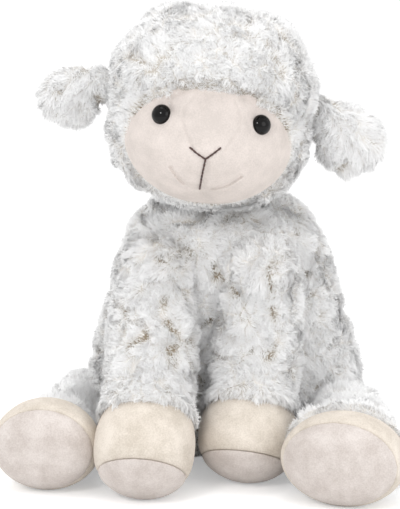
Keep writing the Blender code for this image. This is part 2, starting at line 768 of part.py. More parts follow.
# Head: a fur hood open at the neck and the face, a velour face, filling, eyes, thread and ears
def make_head():
    pivot = add_pivot("head_pivot", HEAD_MIDDLE, HEAD_ROLL, HEAD_LOOK)
    ears = {"left": ear_path(1.0, LEFT_EAR_DROOP), "right": ear_path(-1.0, 0.0)}

    hood = head_form("head_hood", 0.0)
    room = head_form("head_room", FUR_WALL, HEAD_ROOM_SEGMENTS, HEAD_ROOM_RINGS)
    hood = combine(hood, [room], "DIFFERENCE")
    neck = rod(
        "neck_opening", NECK_OPENING_RADIUS, 0.0, -HEAD_RADIUS * 2.0, Vector((0.0, 0.0, 0.0)), Z_AXIS
    )
    openings = [face_form("face_hollow", -SEAM_GAP), face_opening(), neck]
    openings += [small_hollow("ear_hollow", path[0], EAR_ROOT_RADIUS) for path in ears.values()]
    hood = combine(hood, openings, "DIFFERENCE")

    rim = Vector((0.0, -FACE_RIM_AHEAD, 0.0))
    face = slice_away(face_form("face_panel", 0.0), rim, Y_AXIS)
    room = [face_form("face_room", VELOUR_WALL)]
    room += eye_holes(SHANK_RADIUS + SEAM_GAP, EYE_RADIUS, -SHANK_LENGTH)
    face = combine(face, room, "DIFFERENCE")

    filling = head_form(
        "head_stuffing", FUR_WALL + SEAM_GAP, HEAD_ROOM_SEGMENTS, HEAD_ROOM_RINGS
    )
    groove = slice_away(face_form("face_groove", -SEAM_GAP), rim + Y_AXIS * SEAM_GAP, Y_AXIS)
    filling = combine(filling, [groove], "DIFFERENCE")
    filling = combine(filling, [face_form("face_fill", VELOUR_WALL + SEAM_GAP)], "UNION")
    holes = eye_holes(WASHER_RADIUS + SEAM_GAP, EYE_RADIUS, -SHANK_LENGTH - SEAM_GAP)
    holes += [small_hollow("ear_hollow", path[0], EAR_ROOT_RADIUS) for path in ears.values()]
    filling = combine(filling, holes, "DIFFERENCE")

    for name, side in (("left", 1.0), ("right", -1.0)):
        eye = turned(name + "_eye", eye_profile(), *eye_seat(side))
        place_on_head(eye, BLACK_PLASTIC, pivot)
        washer = turned(name + "_eye_washer", washer_profile(), *eye_seat(side))
        place_on_head(washer, WHITE_PLASTIC, pivot)

    fork = (0.0, -NOSE_FORK_DOWN)
    stem = thread_line("mouth_stitching", (fork, (0.0, -MOUTH_END_DOWN)))
    arms = [
        thread_line("nose_arm", ((side * NOSE_ARM_OUT, -NOSE_ARM_DOWN), fork))
        for side in (-1.0, 1.0)
    ]
    stem = combine(stem, arms, "UNION")

    place_on_head(hood, WHITE_FUR, pivot)
    place_on_head(face, CREAM_VELOUR, pivot)
    place_on_head(filling, POLYESTER_FILL, pivot)
    place_on_head(stem, BROWN_THREAD, pivot)

    for name, path in ears.items():
        ear_pivot = add_pivot(name + "_ear_pivot", path[0], parent=pivot)
        ear = stuffed_form(
            name + "_ear",
            path,
            EAR_RING_SHARES,
            EAR_HALF_WIDTH,
            EAR_HALF_THICKNESS,
            Z_AXIS,
            LIMB_SIDES,
        )
        ear = combine(ear, [head_form("head_print", -SEAM_GAP)], "DIFFERENCE")
        ear = combine(ear, [small_ball("root", path[0], EAR_ROOT_RADIUS)], "UNION")
        ear.data.transform(Matrix.Translation(-path[0]))
        finish_piece(ear, WHITE_FUR)
        ear.parent = ear_pivot


def place_on_head(obj, paint, pivot):
    """Hangs a piece that was made about the head's middle on the head's pivot."""
    finish_piece(obj, paint)
    obj.parent = pivot


make_body()
for leg_name, (leg_path, leg_form) in LEGS.items():
    make_leg(leg_name, leg_path, leg_form)
make_tail()
make_head()
bpy.context.view_layer.update()
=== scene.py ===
import math

import bmesh
import bpy
import numpy as np
from mathutils import Matrix, Vector, noise
from mathutils.bvhtree import BVHTree


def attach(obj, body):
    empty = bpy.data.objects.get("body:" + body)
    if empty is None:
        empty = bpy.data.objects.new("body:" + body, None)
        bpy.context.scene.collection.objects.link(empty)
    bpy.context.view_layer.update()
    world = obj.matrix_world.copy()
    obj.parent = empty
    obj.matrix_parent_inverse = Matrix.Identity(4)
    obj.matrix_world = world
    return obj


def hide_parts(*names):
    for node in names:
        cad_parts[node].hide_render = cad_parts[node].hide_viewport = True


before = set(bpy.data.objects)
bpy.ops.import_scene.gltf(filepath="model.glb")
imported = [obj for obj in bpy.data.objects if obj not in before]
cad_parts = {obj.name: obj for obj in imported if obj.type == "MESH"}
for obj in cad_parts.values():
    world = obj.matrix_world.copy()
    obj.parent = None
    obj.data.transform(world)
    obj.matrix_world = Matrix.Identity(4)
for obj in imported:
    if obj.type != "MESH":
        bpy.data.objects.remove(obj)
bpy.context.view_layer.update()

MM = 0.001

# Camera: a long lens a little above the toy and a little to its left, as in the photograph. The
# picture height is what the lens takes in at the toy, and gives its focal length.
camera_distance = 1500 * MM
camera_turn = math.radians(6)
camera_tilt = math.radians(12)
picture_height = 321.7 * MM
sideways = Vector((math.cos(camera_turn), math.sin(camera_turn), 0))
forward = Vector(
    (
        -math.sin(camera_turn) * math.cos(camera_tilt),
        math.cos(camera_turn) * math.cos(camera_tilt),
        -math.sin(camera_tilt),
    )
)
upward = sideways.cross(forward)
aim = sideways * (-9.0 * MM) + upward * (121.9 * MM)
camera_data = bpy.data.cameras.new("camera")
camera_data.sensor_fit = "AUTO"
camera_data.sensor_width = 36
camera_data.lens = camera_data.sensor_width * camera_distance / picture_height
camera_data.clip_start = 0.05
camera_data.clip_end = 20


def put_in_scene(name, data):
    """Puts a mesh, a lamp or a camera into the scene."""
    thing = bpy.data.objects.new(name, data)
    bpy.context.scene.collection.objects.link(thing)
    return thing


def point_along(thing, way):
    """Turns a camera or a lamp to look along a direction."""
    thing.rotation_mode = "QUATERNION"
    thing.rotation_quaternion = way.to_track_quat("-Z", "Y")


camera = put_in_scene("camera", camera_data)
camera.location = aim - forward * camera_distance
point_along(camera, forward)
bpy.context.scene.camera = camera
bpy.context.scene.view_settings.view_transform = "Standard"

# Body: a pear of knitted backing cloth that carries long curled pile, sewn shut round loose
# filling and a bag of beans. The coat here is that backing; the pile is grown on it below.
BODY_HEIGHT = 170 * MM
BODY_PATH = (
    np.array((0, 12, 0)) * MM,
    np.array((0, 10, 85)) * MM,
    np.array((0, -14, 170)) * MM,
)
BODY_RINGS = (
    (-0.003, 0.0, 0.0),
    (0.0, 0.62, 0.66),
    (0.06, 0.97, 1.06),
    (0.25, 1.04, 1.16),
    (0.48, 0.93, 1.06),
    (0.70, 0.84, 0.90),
    (0.86, 0.73, 0.78),
    (0.96, 0.52, 0.56),
    (1.0, 0.0, 0.0),
)
BODY_HALVES = (83 * MM, 58 * MM)
# Trims the smoothed rings to the width of the solid's, on the body and on the smaller tubes.
BODY_TRIM = 0.9885
TUBE_TRIM = 0.974
# The backing lies this deep under its pile, in rows this far apart, and this far off the floor.
# The hooves and the lowest fibres are LOWEST above it.
PILE_DEPTH = 5 * MM
ROW_GAP = 2.4 * MM
BACKING_LIFT = 0.4 * MM
LOWEST = 0.3 * MM
ACROSS = np.array((1.0, 0.0, 0.0))
UPRIGHT = np.array((0.0, 0.0, 1.0))


def path_at(path, shares):
    """Points on the bent line through a path's start, bend and end."""
    start, bend, end = path
    s = np.asarray(shares)[..., None]
    return start * (1 - s) ** 2 + bend * 2 * s * (1 - s) + end * s**2


def slope_at(path, shares):
    """The direction of that line at each point."""
    start, bend, end = path
    s = np.asarray(shares)[..., None]
    slope = (bend - start) * (1 - s) + (end - bend) * s
    return slope / np.linalg.norm(slope, axis=-1, keepdims=True)


def eased_rings(rings, steps):
    """A smooth run of share, width and thickness through a table of rings, round at both ends."""
    table = np.array(rings)
    flipped = np.array((1.0, -1.0, -1.0))
    table = np.vstack((table[1] * flipped, table, table[-2] * flipped))
    run = []
    for place in range(1, len(table) - 2):
        a, b, c, d = table[place - 1 : place + 3]
        for step in range(steps):
            t = step / steps
            early = a * (1 - t) ** 3 + b * (3 * t**3 - 6 * t**2 + 4)
            late = c * (-3 * t**3 + 3 * t**2 + 3 * t + 1)
            run.append((early + late + d * t**3) / 6)
    run.append(table[-2] * np.array((2 / 3, 0, 0)) + table[-3] * np.array((1 / 3, 0, 0)))
    return np.array(run)


def halves_at(run, shares):
    """A run's widths and thicknesses at shares of its path."""
    order = np.argsort(run[:, 0])
    return [np.interp(shares, run[order, 0], run[order, k]) for k in (1, 2)]


def even_run(path, run, half_width, half_thickness, gap):
    """The same run in rows that lie an even gap apart on the surface."""
    middle = path_at(path, run[:, 0])
    steps = np.linalg.norm(np.diff(middle, axis=0), axis=1)
    wide = np.abs(np.diff(run[:, 1])) * half_width
    thick = np.abs(np.diff(run[:, 2])) * half_thickness
    far = np.concatenate(([0], np.cumsum(np.sqrt(steps**2 + np.maximum(wide, thick) ** 2))))
    even = np.linspace(0, far[-1], round(far[-1] / gap) + 1)
    return np.column_stack([np.interp(even, far, run[:, k]) for k in range(3)])


def full_turn(count):
    """Angles once round, an even step apart."""
    return np.linspace(0, 2 * math.pi, count, endpoint=False)


def padded_grid(path, run, half_width, half_thickness, across, segments):
    """Rows of points round a path, one row for each share, width and thickness in the run."""
    centre = path_at(path, run[:, 0])
    slope = slope_at(path, run[:, 0])
    side = across - slope * (slope @ across)[:, None]
    side /= np.linalg.norm(side, axis=1, keepdims=True)
    lift = np.cross(slope, side)
    turn = full_turn(segments)
    wide = (run[:, 1] * half_width)[:, None, None] * np.cos(turn)[None, :, None]
    thick = (run[:, 2] * half_thickness)[:, None, None] * np.sin(turn)[None, :, None]
    return centre[:, None] + wide * side[:, None] + thick * lift[:, None]


def coat_grid(path, run, halves, gap, across, segments):
    """The same with its rows an even gap apart on the surface."""
    return padded_grid(path, even_run(path, run, *halves, gap), *halves, across, segments)


def gathered(row):
    """A row of equal points in the middle of another row, which closes the cloth there."""
    return np.repeat(row.mean(axis=0)[None, None], len(row), axis=1)


def cloth_from_grid(name, grid):
    """A closed piece of cloth through rows of points; a row of equal points is a closed pole."""
    rows, columns = grid.shape[:2]
    shape = bmesh.new()
    verts = [[shape.verts.new(point) for point in row] for row in grid]
    for near, far in zip(verts, verts[1:]):
        for step in range(columns):
            after = (step + 1) % columns
            shape.faces.new((near[step], near[after], far[after], far[step]))
    bmesh.ops.remove_doubles(shape, verts=shape.verts, dist=0.002 * MM)
    bmesh.ops.dissolve_degenerate(shape, edges=shape.edges, dist=0.001 * MM)
    bmesh.ops.recalc_face_normals(shape, faces=shape.faces)
    mesh = bpy.data.meshes.new(name)
    shape.to_mesh(mesh)
    shape.free()
    mesh.shade_smooth()
    return put_in_scene(name, mesh)


def points_of(obj):
    """The places and directions of a piece's corners."""
    mesh = obj.data
    places = np.zeros(len(mesh.vertices) * 3)
    mesh.vertices.foreach_get("co", places)
    normals = np.zeros(len(mesh.vertices) * 3, np.float32)
    mesh.vertex_normals.foreach_get("vector", normals)
    return places.reshape(-1, 3), normals.reshape(-1, 3).astype(float)


def move_points(obj, places):
    """Puts a piece's corners at new places."""
    obj.data.vertices.foreach_set("co", np.ascontiguousarray(places).ravel())
    obj.data.update()


def draw_in(obj, depth):
    """Moves a surface inwards to the cloth that lies under its pile, but not into the floor."""
    places, normals = points_of(obj)
    places = places - normals * depth
    places[:, 2] = np.maximum(places[:, 2], BACKING_LIFT)
    move_points(obj, places)


def linear(code):
    """A linear colour from an sRGB hex value."""
    values = [int(code[place : place + 2], 16) / 255 for place in (1, 3, 5)]
    curved = [v / 12.92 if v <= 0.04045 else ((v + 0.055) / 1.055) ** 2.4 for v in values]
    return (*curved, 1.0)


def add_node(tree, kind, settings=(), inputs=()):
    """Adds a node with its settings and its links or plain input values."""
    node = tree.nodes.new(kind)
    for name, value in dict(settings).items():
        setattr(node, name, value)
    for socket, value in dict(inputs).items():
        if isinstance(value, bpy.types.NodeSocket):
            tree.links.new(value, node.inputs[socket])
        else:
            node.inputs[socket].default_value = value
    return node


def new_finish(name, roughness, **plain):
    """A material with its Principled shader, whose even values sit on the shader's own sockets."""
    finish = bpy.data.materials.new(name)
    finish.use_nodes = True
    shader = finish.node_tree.nodes["Principled BSDF"]
    shader.inputs["Roughness"].default_value = roughness
    for socket, value in plain.items():
        shader.inputs[socket.replace("_", " ")].default_value = value
    return finish, finish.node_tree, shader


def pattern(tree, kind, size, settings=(), **more):
    """A pattern on a piece's own coordinates, its parts about one size apart."""
    spot = add_node(tree, "ShaderNodeTexCoord").outputs["Object"]
    inputs = {"Vector": spot, "Scale": 1 / size, **more}
    return add_node(tree, "ShaderNodeTex" + kind, settings, inputs)


def toned(tree, value, *stops):
    """Turns a value into a colour by a ramp of places and hex colours."""
    node = add_node(tree, "ShaderNodeValToRGB", inputs={"Fac": value})
    elements = node.color_ramp.elements
    while len(elements) < len(stops):
        elements.new(0.5)
    for element, (place, code) in zip(elements, stops):
        element.position = place
        element.color = linear(code)
    return node.outputs["Color"]


def blended(tree, share, under, over, way="MIX"):
    """One colour laid over another by a share."""
    settings = {"data_type": "RGBA", "blend_type": way}
    return add_node(
        tree, "ShaderNodeMix", settings, {"Factor": share, 6: under, 7: over}
    ).outputs[2]


def surface(tree, shader, colour, height=None, strength=0.0, depth=0.0):
    """Links a colour to a shader, and a pattern that stands out as small relief."""
    tree.links.new(colour, shader.inputs["Base Color"])
    if height is not None:
        inputs = {"Height": height, "Strength": strength, "Distance": depth}
        relief = add_node(tree, "ShaderNodeBump", inputs=inputs)
        tree.links.new(relief.outputs["Normal"], shader.inputs["Normal"])


# Knitted polyester backing: matte loops about 1.2 mm apart, which the eye sees only at a parting.
backing_finish, tree, shader = new_finish("knitted_polyester_backing", 0.95)
loops = pattern(tree, "Voronoi", 1.2 * MM).outputs["Distance"]
# The brown is the roots' dye at the partings, and painted shade between the front legs and round
# the face.
brown = add_node(tree, "ShaderNodeAttribute", {"attribute_name": "dye_and_shade"}).outputs["Fac"]
tone = toned(tree, loops, (0.0, "#f4f2ef"), (0.7, "#e6e2dc"))
surface(tree, shader, blended(tree, brown, tone, linear("#7d6b4e")), loops, 0.4, 0.3 * MM)

# Brushed polyester pile: fine matte fibres, white at the tips and dyed taupe to brown at the roots.
# The first coordinate of its map is the fibre's own tone, the second runs from root to tip.
pile_finish, tree, shader = new_finish(
    "brushed_polyester_pile",
    0.8,
    Specular_IOR_Level=0.25,
    Sheen_Weight=0.5,
    Sheen_Roughness=0.6,
)
fibre = add_node(tree, "ShaderNodeUVMap", {"uv_map": "OFBake"})
split = add_node(tree, "ShaderNodeSeparateXYZ", inputs={"Vector": fibre.outputs["UV"]})
WHITE_PILE = ((0.0, "#f0eeeb"), (0.25, "#f7f6f5"), (0.6, "#fbfbfb"), (1.0, "#fdfdfd"))
# The dyed ramp is the roots' own brown, and is also used as painted shade where the coat marks it:
# between the front legs and round the face.
DYED_AND_SHADED_PILE = ((0.0, "#584730"), (0.22, "#8b7757"), (0.46, "#d9d1c1"), (0.7, "#f7f7f6"))
white, dyed_and_shaded = [toned(tree, split.outputs["Y"], *stops) for stops in (WHITE_PILE, DYED_AND_SHADED_PILE)]
dye_and_shade_share, fleck = [
    add_node(tree, "ShaderNodeMapRange", inputs={"Value": split.outputs["X"], **span}).outputs[0]
    for span in (
        {"From Min": 0.5, "From Max": 0.95},
        {"From Min": 0.0, "From Max": 0.5, "To Min": 0.96, "To Max": 1.0},
    )
]
mixed = blended(tree, dye_and_shade_share, white, dyed_and_shaded)
surface(tree, shader, blended(tree, 1.0, mixed, fleck, "MULTIPLY"))

# How the coat lies: it is full of short partings, and swells into soft tufts between them. The
# pile lies away from the nearest parting, so its dyed roots show there, and elsewhere it swirls.
# Blender's noise starts from the clock unless it is given a seed.
noise.seed_set(4)


def noise_at(places, size, shift=0.0):
    """Soft noise at places, its hills about one size across."""
    return np.array([noise.noise(Vector(place)) for place in places / size + shift])


def drift_at(places, size, shift=0.0):
    """Soft random directions at places, which change over about one size."""
    return np.array([noise.noise_vector(Vector(place)) for place in places / size + shift])


def along_cloth(ways, normals):
    """Directions laid flat on the cloth."""
    return ways - normals * (ways * normals).sum(axis=1, keepdims=True)


def eased(values, low, high):
    """Rises smoothly from 0 at a low value to 1 at a high one."""
    t = np.clip((np.asarray(values) - low) / (high - low), 0, 1)
    return t * t * (3 - 2 * t)


def tuft_coat(obj, size, depth, dye_and_shade, calm=None):
    """Swells a backing into tufts. Gives how bare, how dyed and which way its pile lies."""
    places, normals = points_of(obj)
    bent = places + drift_at(places, 1.4 * size) * 0.3 * size
    here = noise_at(bent, size)
    reach = 0.5 * MM
    steps = [noise_at(bent + step, size) - here for step in np.eye(3) * reach]
    slope = along_cloth(np.stack(steps, axis=1) / reach, normals)
    steep = np.linalg.norm(slope, axis=1)
    usual = 0.9 / size
    away = np.abs(here) / np.maximum(steep, 0.35 * usual)
    open_share = eased(noise_at(places, 11 * MM, 7.3), -0.10, 0.18)
    if calm is not None:
        open_share = open_share * (1 - calm)
    far = eased(away, 0, 0.34 * size)
    swell = depth * (1 - (0.25 + 0.75 * open_share) * (1 - far))
    width = 3.0 * MM + 2.4 * MM * noise_at(places, 6 * MM, 1.9)
    bare = (1 - eased(away / width, 0.15, 1)) * open_share
    stained = (1 - eased(away / width, 0.5, 2.2)) * np.maximum(open_share, 0.45)
    patch = eased(noise_at(places, 20 * MM, 3.1), -0.35, 0.0)
    uphill = slope * (np.sign(here) / np.maximum(steep, 1e-9))[:, None]
    uphill *= (eased(steep, 0, 0.6 * usual) * (0.25 + 0.75 * open_share))[:, None]
    swirl = along_cloth(drift_at(places, 26 * MM, 5.7), normals)
    lean = 0.65 * uphill + swirl * (0.7 - 0.4 * open_share)[:, None]
    move_points(obj, places + normals * swell[:, None])
    return bare, stained * patch * dye_and_shade, lean


# How the pile grows: thin flat fibres, rooted at random, that lie along the coat's direction in
# small locks, curl over towards their tips and show their broad sides outwards.
growth = bpy.data.node_groups.new("curled_pile", "GeometryNodeTree")
for label, kind in (
    ("Backing", "Geometry"),
    ("Fibres per square metre", "Float"),
    ("Pile length", "Float"),
    ("Fibre width", "Float"),
    ("Lock size", "Float"),
    ("Rise", "Float"),
    ("Seed", "Int"),
    ("Finish", "Material"),
):
    growth.interface.new_socket(label, in_out="INPUT", socket_type="NodeSocket" + kind)
growth.interface.new_socket("Pile", in_out="OUTPUT", socket_type="NodeSocketGeometry")
given = growth.nodes.new("NodeGroupInput").outputs
number = add_node(growth, "GeometryNodeInputIndex").outputs[0]
# How a fibre's way is drawn to its lock's middle, per metre from it, and how much the lock's way,
# the fibre's own way and its broad side vary at random.
GATHER = 95.0
LOCK_WAY = 0.5
STRAY = 0.42
TWIST = 0.2
# A fibre's rise starts this much steeper than plain, and loses this much of itself to its tip.
CURL = 0.45
CURL_DOWN = 0.55
TAPER = 0.75


def maths(tree, operation, *values):
    """Adds a step of arithmetic to a tree and gives its result."""
    inputs = dict(enumerate(values))
    return add_node(tree, "ShaderNodeMath", {"operation": operation}, inputs).outputs[0]


def vectors(operation, *values):
    """The same for places and directions in the pile's tree."""
    sockets = (0, "Scale") if operation == "SCALE" else range(3)
    inputs = dict(zip(sockets, values))
    node = add_node(growth, "ShaderNodeVectorMath", {"operation": operation}, inputs)
    return node.outputs["Value" if operation == "DOT_PRODUCT" else "Vector"]


def chance(kind, low, high, shift=None):
    """A random value for each fibre. Another shift of the fibre's number gives another draw."""
    first = 0 if kind == "FLOAT_VECTOR" else 2
    inputs = {first: low, first + 1: high, "Seed": given["Seed"]}
    if shift is not None:
        inputs["ID"] = maths(growth, "ADD", number, shift)
    node = add_node(growth, "FunctionNodeRandomValue", {"data_type": kind}, inputs)
    return node.outputs[first // 2]


COMBED = {
    "cover": "FLOAT",
    "pile": "FLOAT",
    "dye_and_shade": "FLOAT",
    "lean": "FLOAT_VECTOR",
    "outward": "FLOAT_VECTOR",
}
combed = {
    label: add_node(
        growth, "GeometryNodeInputNamedAttribute", {"data_type": kind}, {"Name": label}
    ).outputs["Attribute"]
    for label, kind in COMBED.items()
}
outward = combed["outward"]
spread = maths(growth, "MULTIPLY", given["Fibres per square metre"], combed["cover"])
scatter = add_node(
    growth,
    "GeometryNodeDistributePointsOnFaces",
    {"distribute_method": "RANDOM"},
    {"Mesh": given["Backing"], "Density": spread, "Seed": given["Seed"]},
)
root = add_node(growth, "GeometryNodeInputPosition").outputs[0]
per_lock = maths(growth, "DIVIDE", 1.0, given["Lock size"])
lock = add_node(growth, "ShaderNodeTexVoronoi", inputs={"Vector": root, "Scale": per_lock})
to_lock = vectors("SCALE", vectors("SUBTRACT", lock.outputs["Position"], root), GATHER)
lock_way = vectors(
    "MULTIPLY_ADD", lock.outputs["Color"], (LOCK_WAY,) * 3, (-LOCK_WAY / 2,) * 3
)
stray = chance("FLOAT_VECTOR", (-STRAY,) * 3, (STRAY,) * 3)
lean = combed["lean"]
for more in (to_lock, lock_way, stray):
    lean = vectors("ADD", lean, more)
rising = vectors("SCALE", outward, vectors("DOT_PRODUCT", lean, outward))
lying = vectors("SUBTRACT", lean, rising)
length = given["Pile length"]
for more in (chance("FLOAT", 0.72, 1.1, 10007.0), combed["pile"]):
    length = maths(growth, "MULTIPLY", length, more)
rise = maths(growth, "MULTIPLY", given["Rise"], chance("FLOAT", 0.4, 1.6, 50021.0))
own_tone = chance("FLOAT", 0.03, 0.5, 90007.0)
# A fibre's tint holds the coat's dye and painted shade, with its own tone.
tint = maths(growth, "MULTIPLY_ADD", combed["dye_and_shade"], 0.45, own_tone)
heading = vectors("ADD", lying, vectors("SCALE", outward, rise))
twist = chance("FLOAT_VECTOR", (-TWIST,) * 3, (TWIST,) * 3, 70001.0)
facing = vectors("ADD", outward, twist)
breadth = vectors("NORMALIZE", vectors("CROSS_PRODUCT", heading, facing))
rooted = add_node(growth, "GeometryNodeCaptureAttribute", {"domain": "POINT"})
for label, kind, value in (
    ("start", "VECTOR", root),
    ("out", "VECTOR", outward),
    ("lean", "VECTOR", lying),
    ("breadth", "VECTOR", breadth),
    ("length", "FLOAT", length),
    ("rise", "FLOAT", rise),
    ("tint", "FLOAT", tint),
):
    rooted.capture_items.new(kind, label)
    growth.links.new(value, rooted.inputs[label])
growth.links.new(scatter.outputs["Points"], rooted.inputs["Geometry"])
# Each fibre starts as a square, which is stretched to its length and narrowed to its tip.
ribbon = add_node(
    growth,
    "GeometryNodeMeshGrid",
    inputs={"Size X": 1.0, "Size Y": 1.0, "Vertices X": 2, "Vertices Y": 2},
)
held = add_node(growth, "GeometryNodeCaptureAttribute", {"domain": "POINT"})
held.capture_items.new("VECTOR", "local")
growth.links.new(ribbon.outputs["Mesh"], held.inputs["Geometry"])
growth.links.new(add_node(growth, "GeometryNodeInputPosition").outputs[0], held.inputs["local"])
local = add_node(growth, "ShaderNodeSeparateXYZ", inputs={"Vector": held.outputs["local"]})
along = maths(growth, "ADD", local.outputs["Y"], 0.5)
planted = add_node(
    growth,
    "GeometryNodeInstanceOnPoints",
    inputs={"Points": rooted.outputs["Geometry"], "Instance": held.outputs["Geometry"]},
)
real = add_node(
    growth, "GeometryNodeRealizeInstances", inputs={"Geometry": planted.outputs["Instances"]}
)
# A fibre rises from the cloth, and its tip curls back down towards it.
arch = maths(growth, "MULTIPLY_ADD", along, -CURL_DOWN, 1 + CURL)
upright = along
for more in (arch, rooted.outputs["rise"], rooted.outputs["length"]):
    upright = maths(growth, "MULTIPLY", upright, more)
over = maths(growth, "MULTIPLY", along, rooted.outputs["length"])
wide = local.outputs["X"]
for more in (maths(growth, "MULTIPLY_ADD", along, -TAPER, 1.0), given["Fibre width"]):
    wide = maths(growth, "MULTIPLY", wide, more)
place = rooted.outputs["start"]
for direction, amount in (("out", upright), ("lean", over), ("breadth", wide)):
    place = vectors("ADD", place, vectors("SCALE", rooted.outputs[direction], amount))
# Fibres that reach the floor lie flat on it. Sideways they are free, for a kilometre each way.
settled = vectors("MAXIMUM", place, (-1000.0, -1000.0, LOWEST))
# Each fibre has a narrow strip of the map, 0.006 wide at its tone, that stays off the map's ends.
map_x = maths(growth, "MULTIPLY_ADD", local.outputs["X"], 0.006, rooted.outputs["tint"])
map_y = maths(growth, "MULTIPLY_ADD", along, 0.96, 0.02)
mapped = add_node(growth, "ShaderNodeCombineXYZ", inputs={"X": map_x, "Y": map_y})
grown = real.outputs["Geometry"]
for kind, settings, inputs in (
    ("GeometryNodeSetPosition", {}, {"Position": settled}),
    (
        "GeometryNodeStoreNamedAttribute",
        {"data_type": "FLOAT2", "domain": "CORNER"},
        {"Name": "OFBake", "Value": mapped.outputs[0]},
    ),
    ("GeometryNodeSetShadeSmooth", {}, {}),
    ("GeometryNodeSetMaterial", {}, {"Material": given["Finish"]}),
):
    grown = add_node(growth, kind, settings, {"Geometry": grown, **inputs}).outputs["Geometry"]
growth.links.new(grown, growth.nodes.new("NodeGroupOutput").inputs["Pile"])


def comb(obj, bare, dye_and_shade, lean, cover, length):
    """Stores on a backing how thick and long its pile is at each corner, its dye and painted shade,
    and its way.
    """
    places, normals = points_of(obj)
    told = (cover * (1 - 0.7 * bare), length * (1 - 0.5 * bare), dye_and_shade, lean, normals)
    for (label, kind), values in zip(COMBED.items(), told):
        stored = obj.data.attributes.new(label, kind, "POINT")
        field = "vector" if kind == "FLOAT_VECTOR" else "value"
        stored.data.foreach_set(field, np.ascontiguousarray(values, np.float32).ravel())


def grow_pile(name, backing, body, seed, layers=1):
    """Grows the pile of one backing, in layers that are plain meshes and ride on a body."""
    sizes = {
        "Fibres per square metre": 4.4e6 / layers,
        "Pile length": 6.5 * MM,
        "Fibre width": 0.42 * MM,
        "Lock size": 4.6 * MM,
        "Rise": 0.32,
        "Finish": pile_finish,
    }
    for layer in range(layers):
        modifier = backing.modifiers.new("pile", "NODES")
        modifier.node_group = growth
        sizes["Seed"] = seed + layer
        for item in growth.interface.items_tree:
            if item.in_out == "INPUT" and item.name in sizes:
                modifier[item.identifier] = sizes[item.name]
        bpy.context.view_layer.update()
        graph = bpy.context.evaluated_depsgraph_get()
        mesh = bpy.data.meshes.new_from_object(backing.evaluated_get(graph))
        backing.modifiers.remove(modifier)
        label = name if layers == 1 else name + "_" + "abcdef"[layer]
        mesh.name = label
        pile = put_in_scene(label, mesh)
        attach(pile, body)


def finish_coat(obj, body, *nodes):
    obj.data.materials.append(backing_finish)
    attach(obj, body)
    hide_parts(*nodes)


body_run = eased_rings(BODY_RINGS, 5)
body_run[:, 1:] *= BODY_TRIM
body_coat = cloth_from_grid(
    "body_coat", coat_grid(BODY_PATH, body_run, BODY_HALVES, ROW_GAP, ACROSS, 196)
)
draw_in(body_coat, PILE_DEPTH)
# The coat is a little wider low down, and sits a little to the toy's left.
places, normals = points_of(body_coat)
places[:, 0] *= 1 + 0.045 * eased(places[:, 2], 115 * MM, 60 * MM)
places[:, 0] += 6 * MM * eased(places[:, 2], 5 * MM, 45 * MM)
move_points(body_coat, places)


def inside_body(places, margin):
    """Which places lie deeper than a margin inside the body's outer form."""
    share = np.clip(places[:, 2] / BODY_HEIGHT, 0, 1)
    wide, deep = [
        np.maximum(size * half - margin, 1 * MM)
        for size, half in zip(halves_at(body_run, share), BODY_HALVES)
    ]
    middle = path_at(BODY_PATH, share)[:, 1]
    return (places[:, 0] / wide) ** 2 + ((places[:, 1] - middle) / deep) ** 2 < 1


HEAD_MIDDLE = np.array((0, -26, 218)) * MM
bare, dye_and_shade, lean = tuft_coat(body_coat, 20 * MM, 3.6 * MM, 0.9)
places, normals = points_of(body_coat)
under_head = np.linalg.norm(places - HEAD_MIDDLE, axis=1) < 54 * MM
on_seat = places[:, 2] < 2.5 * MM
cover = np.where(under_head | on_seat, 0.0, 1.0)
length = np.where(places[:, 2] < 10 * MM, 0.6, 1.0)
# Painted shade: low on the body's front, between the front legs, the coat and pile get the roots'
# brown where the body lies in the legs' shade.
painted_cleft_shade = (places[:, 1] < -25 * MM) & (places[:, 2] < 60 * MM)
dye_and_shade = np.maximum(dye_and_shade, 0.8 * painted_cleft_shade * (1 - eased(np.abs(places[:, 0]), 4 * MM, 14 * MM)))
lean[:, 2] -= 0.15
comb(body_coat, bare, dye_and_shade, lean, cover, length)
grow_pile("body_pile", body_coat, "torso", 11, layers=4)
finish_coat(body_coat, "torso", "body_cover")

# Legs: tubes of the same fur, hand-stuffed and sewn to the body, that end in round velour hooves.
# Each row gives a leg's path and half widths in mm, and the share of the path where fur ends.
FRONT_RINGS = (
    (-0.14, 0.0, 0.0),
    (-0.10, 0.68, 0.55),
    (0.06, 0.94, 0.90),
    (0.32, 1.03, 1.02),
    (0.62, 0.96, 0.98),
    (0.86, 1.06, 1.14),
    (0.97, 0.72, 0.78),
    (1.02, 0.0, 0.0),
)
HIND_RINGS = (
    (-0.20, 0.0, 0.0),
    (-0.14, 0.50, 0.52),
    (0.04, 0.78, 0.92),
    (0.34, 0.72, 0.94),
    (0.62, 0.78, 0.92),
    (0.84, 1.04, 1.06),
    (0.97, 0.80, 0.82),
    (1.02, 0.0, 0.0),
)
LEGS = {
    "left_front": (((32, -41, 121), (30, -48, 59), (25, -82, 4.6)), (29, 27), 0.66),
    "right_front": (((-32, -41, 121), (-30, -80, 59), (-31.5, -122, 6.2)), (29, 27), 0.66),
    "left_hind": (((78, -14, 27.5), (98, -66, 27.5), (81.5, -127, 26.5)), (38, 28.5), 0.75),
    "right_hind": (((-78, -14, 27.5), (-90, -50, 27.5), (-92, -116, 26.5)), (33.5, 28), 0.75),
}
SOLE_SHARE = 0.90
SEAM_DEPTH = 1.1 * MM
PUCKER = 0.25 * MM
HIND_SWING = math.radians(20)
# How far the hind legs' fur stands out behind their hooves, in mm.
HIND_PUFFS = {"left_hind": 6.5, "right_hind": -1.5}


def run_between(run, start, end, steps):
    """The part of a run between two shares, in even steps."""
    shares = np.linspace(start, end, steps)
    return np.column_stack([shares] + halves_at(run, shares))


